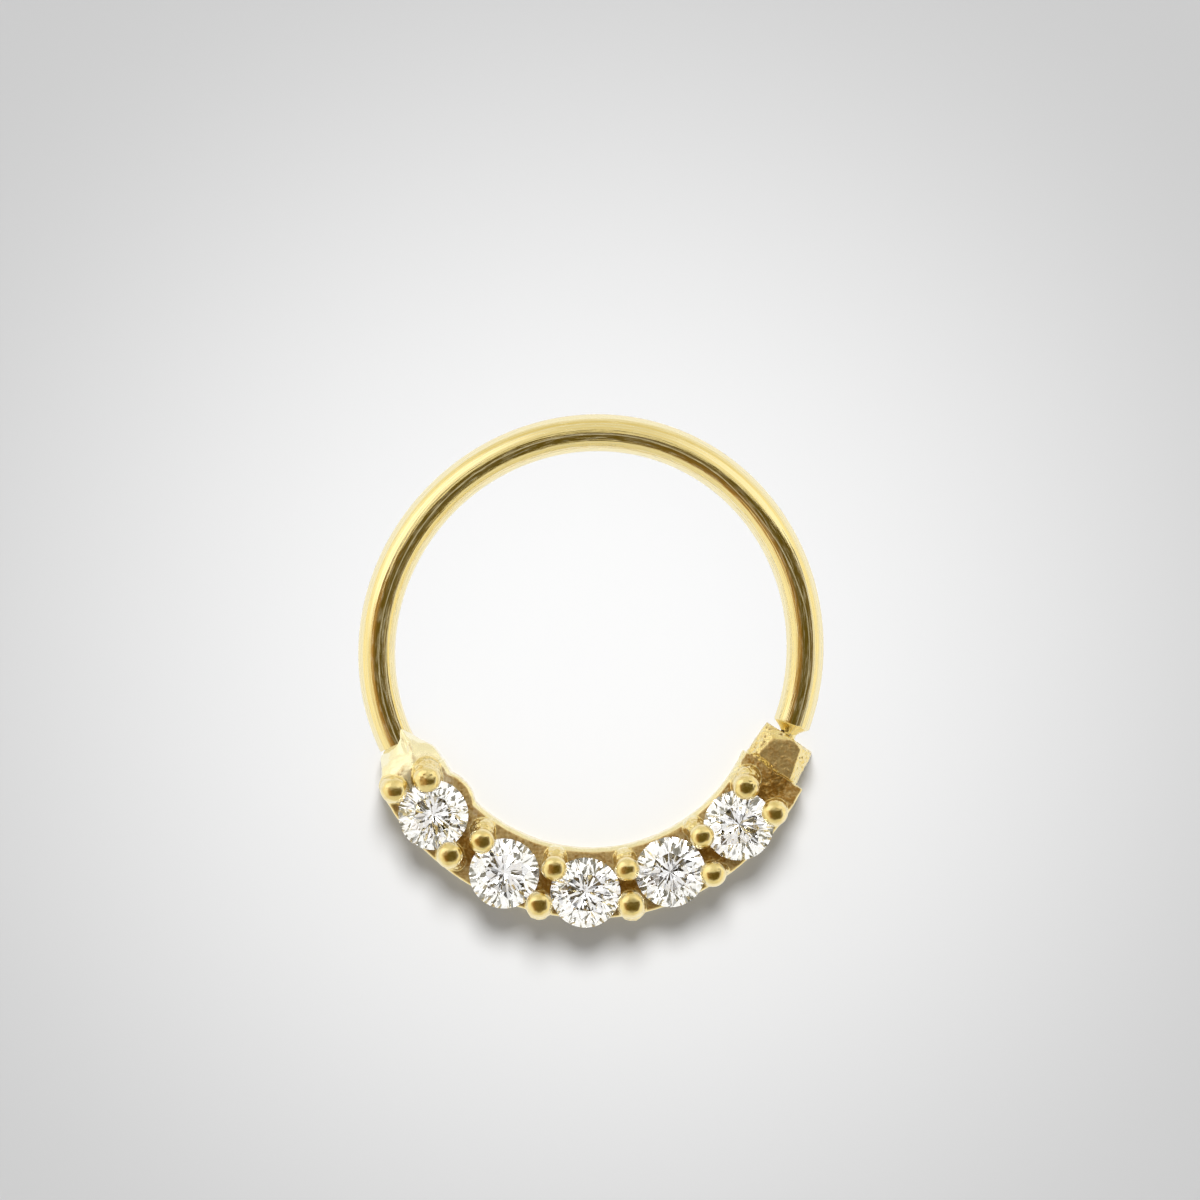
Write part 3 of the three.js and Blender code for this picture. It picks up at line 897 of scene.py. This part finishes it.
def markFinishAndPaintedLight(obj):
    # matte where the bar is only filed, brown stain on its face and more by the clasp, painted shade
    # in the gaps between the stones; a painted sheen in a pale colour, and satin, on the shoulder and the
    # bar's inner edge
    mesh = obj.data
    matte, stainAndShade, paintedSheen = [np.zeros(len(mesh.vertices), np.float32) for name in finishAndPaintedLightNames]
    for i, (p, n) in enumerate(pointsAndNormals(mesh)):
        radius = alongBar(p)[1]
        inClasp = intoClasp @ p
        top = barTop(p, n, radius)
        gap = zone("gapFrom", radius) * (1 - zone("gapTo", radius))
        matte[i] = top * (1 - (1 - finishAndPaintedLight["gapMatte"]) * gap)
        nearClasp = -0.45 < inClasp.x < 1.0 and inClasp.y < 1.7
        byClasp = zone("byClasp", inClasp.y) if nearClasp else 0.0
        # painted shade: more brown in the gaps between the stones, where shade falls; more stain by the
        # clasp
        extraShadeAndStain = max((finishAndPaintedLight["gapStainAndShade"] - finishAndPaintedLight["barStain"]) * gap,
                        (finishAndPaintedLight["claspStain"] - finishAndPaintedLight["barStain"]) * byClasp)
        stainAndShade[i] = top * (finishAndPaintedLight["barStain"] + extraShadeAndStain)
        if onClaspFace(p, n, inClasp):
            matte[i] = finishAndPaintedLight["claspFaceMatte"]
            stainAndShade[i] = finishAndPaintedLight["claspFaceStain"]
        paintedSheen[i] = max(shoulderSheen(p), finishAndPaintedLight["edgeSheen"] * innerEdge(p, radius))
    for name, values in zip(finishAndPaintedLightNames, (matte, stainAndShade, paintedSheen)):
        attribute = mesh.attributes.new(name, "FLOAT", "POINT")
        attribute.data.foreach_set("value", values)


hoopWire = makeWire()
hoopWire.data.materials.append(drawnGold())
print("wire drawn")

stoneSetting = makeSetting()
markFinishAndPaintedLight(stoneSetting)
stoneSetting.data.materials.append(castGold())
print("setting finished")

glass = clearStone()
brilliants = []
for i, (angle, radius, turn) in enumerate(stones["places"], 1):
    stone = makeBrilliant(i, angle, radius, turn)
    stone.data.materials.append(glass)
    stone.data.transform(intoFrame)
    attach(stone, "root")
    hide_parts(f"stone_{i}")
    brilliants.append(stone)
print("stones cut")

hoopWire.visible_diffuse = False        # so the wire throws no glow on the floor
for piece in (hoopWire, stoneSetting):
    piece.data.transform(intoFrame)
    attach(piece, "root")
    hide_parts("ring_frame")

studio = {
    "floorSize": 2.0,
    # the floor's painted pool of light: its tone at the hoop's centre and at its edge
    "floorCentre": 1.0, "floorEdge": 0.63, "fadeStart": 1.0, "fadeEnd": 19.0,   # mm from the hoop's centre
    "worldLight": 0.80, "sideLight": 0.3, "warmAir": (1.0, 0.91, 0.60),
    "airOnFloor": 0.25,        # share of the world's light that reaches the floor
    "stoneLight": 0.3,         # more of it for the stones
    "keyLight": 2.68, "keySpread": 26.0, "keyFrom": (0.0, 0.6, 1.0),
    "floorGlow": 0.08,         # share of the floor's light that comes through it from below
    "cardHeight": 60.0,
    "cardLeft": -58.0, "cardRight": 118.0, "cardBottom": -58.0, "cardTop": 12.7, "cardTopRight": 50.0,
    "cardColours": [                # part of the way from the card's left to its right
        (0.0, (0.85, 0.62, 0.30)), (0.06, (0.60, 0.38, 0.13)), (0.12, (0.36, 0.20, 0.055)),
        (0.2, (0.24, 0.135, 0.03)), (0.3, (0.13, 0.09, 0.014)), (0.5, (0.11, 0.08, 0.014)),
        (0.75, (0.18, 0.125, 0.03)), (1.0, (1.0, 1.0, 1.0)),
    ],
    "lensSize": 10.5, "lensTilt": 3.0, "lensGrey": 0.02,        # sizes and tilts in degrees
    "patches": 30, "patchSeed": 7, "patchSize": (3.5, 8.5), "patchTilt": (14, 72),
    "patchGreys": (0.02, 0.03, 0.06, 0.15, 0.4), "patchTint": (1.0, 1.02, 1.06),
    "softBoxes": [(-0.55, 0.45, 0.62, 0.45), (0.58, 0.42, 0.60, 0.25)],     # direction, extra light
    "softEdge": (0.86, 0.97),       # cosines of their outer and inner edge
    "cameraAway": 350.0, "cameraLean": (0.0, 0.004), "lens": 488.4,
    "aimX": 0.163, "aimY": 1.045,
}


def glowMaterial(name):
    mat = bpy.data.materials.new(name)
    mat.use_nodes = True
    nodes, links = mat.node_tree.nodes, mat.node_tree.links
    nodes.clear()
    out = nodes.new("ShaderNodeOutputMaterial")
    glow = nodes.new("ShaderNodeEmission")
    links.new(glow.outputs[0], out.inputs[0])
    return mat, glow


def hangCard(mesh, seenByGold):
    # gold and stones each see their own cards, nothing else does
    mesh.transform(intoFrame)
    card = asObject(mesh, mesh.name)
    card.visible_camera = False
    card.visible_diffuse = False
    card.visible_shadow = False
    card.visible_volume_scatter = False
    card.visible_glossy = seenByGold
    card.visible_transmission = not seenByGold


def makeDarkCard():
    s = studio
    corners = [(s["cardLeft"], s["cardBottom"]), (s["cardRight"], s["cardBottom"]),
               (s["cardRight"], s["cardTopRight"]), (0, s["cardTop"]), (s["cardLeft"], s["cardTop"])]
    mesh = bpy.data.meshes.new("dark_card")
    mesh.from_pydata([(x, y, s["cardHeight"]) for x, y in corners], [], [(0, 1, 2, 3, 4)])
    mat, glow = glowMaterial("dark card")
    nodes, links = treeOf(mat)
    place = nodes.new("ShaderNodeTexCoord")
    apart = nodes.new("ShaderNodeSeparateXYZ")
    links.new(place.outputs["Object"], apart.inputs[0])
    left, right = [hoopCentre.x + s[side] * mm for side in ("cardLeft", "cardRight")]
    across = mapRange(nodes, links, apart.outputs["X"], 0.0, 1.0, left, right)
    ramp = nodes.new("ShaderNodeValToRGB")
    stops = ramp.color_ramp.elements        # the first and the last are there from the start
    stops[0].color = (*s["cardColours"][0][1], 1)
    stops[1].color = (*s["cardColours"][-1][1], 1)
    for part, colour in s["cardColours"][1:-1]:
        stops.new(part).color = (*colour, 1)
    links.new(across, ramp.inputs["Fac"])
    links.new(ramp.outputs["Color"], glow.inputs["Color"])
    mesh.materials.append(mat)
    hangCard(mesh, seenByGold=True)


def disc(name, radius, height, sides=10):
    turns = [2 * math.pi * i / sides for i in range(sides)]
    mesh = bpy.data.meshes.new(name)
    mesh.from_pydata([(radius * math.cos(a), radius * math.sin(a), height) for a in turns], [],
                     [tuple(range(sides))])
    return mesh


def makeStoneCards():
    # the stones see a lens overhead and small dark cards all round, which give them their sparkle
    s = studio
    chance = random.Random(s["patchSeed"])
    patches = [(0.0, s["lensTilt"], s["lensSize"], s["lensGrey"])]
    for k in range(s["patches"]):
        patches.append((chance.uniform(0, 360), chance.uniform(*s["patchTilt"]),
                        chance.uniform(*s["patchSize"]), chance.choice(s["patchGreys"])))
    far = s["cardHeight"]
    for k, (turn, tilt, size, grey) in enumerate(patches):
        axis = Matrix.Rotation(math.radians(turn), 4, "Z") @ Matrix.Rotation(math.radians(tilt), 4, "Y")
        mesh = disc(f"patch_{k}", far * math.tan(math.radians(size)), far)
        mesh.transform(axis)
        mat, glow = glowMaterial(mesh.name)
        glow.inputs["Color"].default_value = (*[grey * tint for tint in s["patchTint"]], 1)
        mesh.materials.append(mat)
        hangCard(mesh, seenByGold=False)


def makeFloor():
    s = studio
    half = s["floorSize"] / 2
    mesh = bpy.data.meshes.new("floor")
    corners = [(-half, -half, 0), (half, -half, 0), (half, half, 0), (-half, half, 0)]
    mesh.from_pydata(corners, [], [(0, 1, 2, 3)])
    mat, shader = newMaterial("pale floor")
    nodes, links = treeOf(mat)
    place = nodes.new("ShaderNodeTexCoord")
    away = nodes.new("ShaderNodeVectorMath")
    away.operation = "DISTANCE"
    away.inputs[1].default_value = (hoopCentre.x, hoopCentre.y, 0)
    links.new(place.outputs["Object"], away.inputs[0])
    # painted pool of light: the floor's colour and glow are brightest at the hoop's centre, darker away
    # from it
    fade = mapRange(nodes, links, away.outputs["Value"], s["floorCentre"], s["floorEdge"],
                    s["fadeStart"] * mm, s["fadeEnd"] * mm, smooth=True)
    links.new(mathNode(nodes, links, "MULTIPLY", fade, 1 - s["floorGlow"]), shader.inputs["Base Color"])
    links.new(fade, shader.inputs["Emission Color"])
    shader.inputs["Emission Strength"].default_value = s["floorGlow"]
    shader.inputs["Roughness"].default_value = 0.9
    shader.inputs["Specular IOR Level"].default_value = 0
    # metal sees an even bright floor
    even = nodes.new("ShaderNodeEmission")
    even.inputs["Color"].default_value = (1, 0.99, 0.95, 1)
    even.inputs["Strength"].default_value = 1.0
    path = nodes.new("ShaderNodeLightPath")
    mix = nodes.new("ShaderNodeMixShader")
    out = next(n for n in nodes if n.type == "OUTPUT_MATERIAL")
    links.new(path.outputs["Is Glossy Ray"], mix.inputs[0])
    links.new(shader.outputs[0], mix.inputs[1])
    links.new(even.outputs[0], mix.inputs[2])
    links.new(mix.outputs[0], out.inputs[0])
    mesh.materials.append(mat)
    asObject(mesh, "floor")


def makeWorld():
    # warm and brighter to the left and right, with two white soft boxes
    s = studio
    world = bpy.data.worlds.new("soft light")
    world.use_nodes = True
    nodes, links = world.node_tree.nodes, world.node_tree.links
    nodes.clear()
    air, boxes = nodes.new("ShaderNodeBackground"), nodes.new("ShaderNodeBackground")
    boxes.inputs["Color"].default_value = (1, 1, 1, 1)
    both, out = nodes.new("ShaderNodeAddShader"), nodes.new("ShaderNodeOutputWorld")
    links.new(air.outputs[0], both.inputs[0])
    links.new(boxes.outputs[0], both.inputs[1])
    links.new(both.outputs[0], out.inputs["Surface"])
    place = nodes.new("ShaderNodeTexCoord")
    apart = nodes.new("ShaderNodeSeparateXYZ")
    links.new(place.outputs["Generated"], apart.inputs[0])

    # metal sees warm air, and metal and stones see all of it
    path = nodes.new("ShaderNodeLightPath")
    shiny, through = path.outputs["Is Glossy Ray"], path.outputs["Is Transmission Ray"]
    onMetal = mathNode(nodes, links, "SUBTRACT", shiny, through)
    links.new(mixNode(nodes, links, onMetal, (1.0, 1.0, 1.0), s["warmAir"]), air.inputs["Color"])
    # but light on its way to the floor is the floor's share
    toFloor = mathNode(nodes, links, "MINIMUM", path.outputs["Diffuse Depth"], 1.0)
    clear = mathNode(nodes, links, "SUBTRACT", mathNode(nodes, links, "MAXIMUM", shiny, through), toFloor)
    clear = mathNode(nodes, links, "MAXIMUM", clear, 0.0)
    level = mathNode(nodes, links, "MULTIPLY_ADD", clear, 1 - s["airOnFloor"], s["airOnFloor"])
    level = mathNode(nodes, links, "MULTIPLY_ADD", mathNode(nodes, links, "MULTIPLY", clear, through),
                     s["stoneLight"], level)

    side = mathNode(nodes, links, "MULTIPLY", apart.outputs["X"], apart.outputs["X"])
    total = mathNode(nodes, links, "MULTIPLY_ADD", side, s["sideLight"], s["worldLight"])
    links.new(mathNode(nodes, links, "MULTIPLY", total, level), air.inputs["Strength"])
    extra = 0.0
    for x, y, z, light in s["softBoxes"]:
        towards = nodes.new("ShaderNodeVectorMath")
        towards.operation = "DOT_PRODUCT"
        towards.inputs[1].default_value = Vector((x, y, z)).normalized()
        links.new(place.outputs["Generated"], towards.inputs[0])
        box = mapRange(nodes, links, towards.outputs["Value"], 0.0, light, *s["softEdge"], smooth=True)
        extra = mathNode(nodes, links, "ADD", box, extra)
    links.new(mathNode(nodes, links, "MULTIPLY", extra, level), boxes.inputs["Strength"])
    bpy.context.scene.world = world


def makeKeyLight(casters):
    # shades the floor below the bar; the metal doesn't mirror it
    s = studio
    light = bpy.data.lights.new("key_light", "SUN")
    light.energy = s["keyLight"]
    light.angle = math.radians(s["keySpread"])
    obj = bpy.data.objects.new("key_light", light)
    bpy.context.scene.collection.objects.link(obj)
    obj.rotation_euler = (-Vector(s["keyFrom"])).to_track_quat("-Z", "Y").to_euler()
    obj.visible_glossy = False
    shading = bpy.data.collections.new("shading pieces")
    for piece in casters:
        shading.objects.link(piece)
    obj.light_linking.blocker_collection = shading


def makeCamera():
    s = studio
    cam = bpy.data.cameras.new("camera")
    cam.lens = s["lens"]
    cam.sensor_width = 36
    cam.clip_start = 0.001
    cam.clip_end = 10
    obj = bpy.data.objects.new("camera", cam)
    bpy.context.scene.collection.objects.link(obj)
    aim = hoopCentre + Vector((s["aimX"], s["aimY"], 0)) * mm
    away = Vector((*s["cameraLean"], 1)).normalized()
    right = Vector((0, 1, 0)).cross(away).normalized()
    turn = Matrix((right, away.cross(right), away)).transposed()
    obj.matrix_world = Matrix.Translation(aim + away * s["cameraAway"] * mm) @ turn.to_4x4()
    bpy.context.scene.camera = obj


makeDarkCard()
makeStoneCards()
makeFloor()
makeWorld()
makeKeyLight([stoneSetting] + brilliants)
makeCamera()

scene = bpy.context.scene
scene.view_settings.view_transform = "Standard"
scene.cycles.max_bounces = 24
scene.cycles.glossy_bounces = 12
scene.cycles.transmission_bounces = 20
print("studio ready")
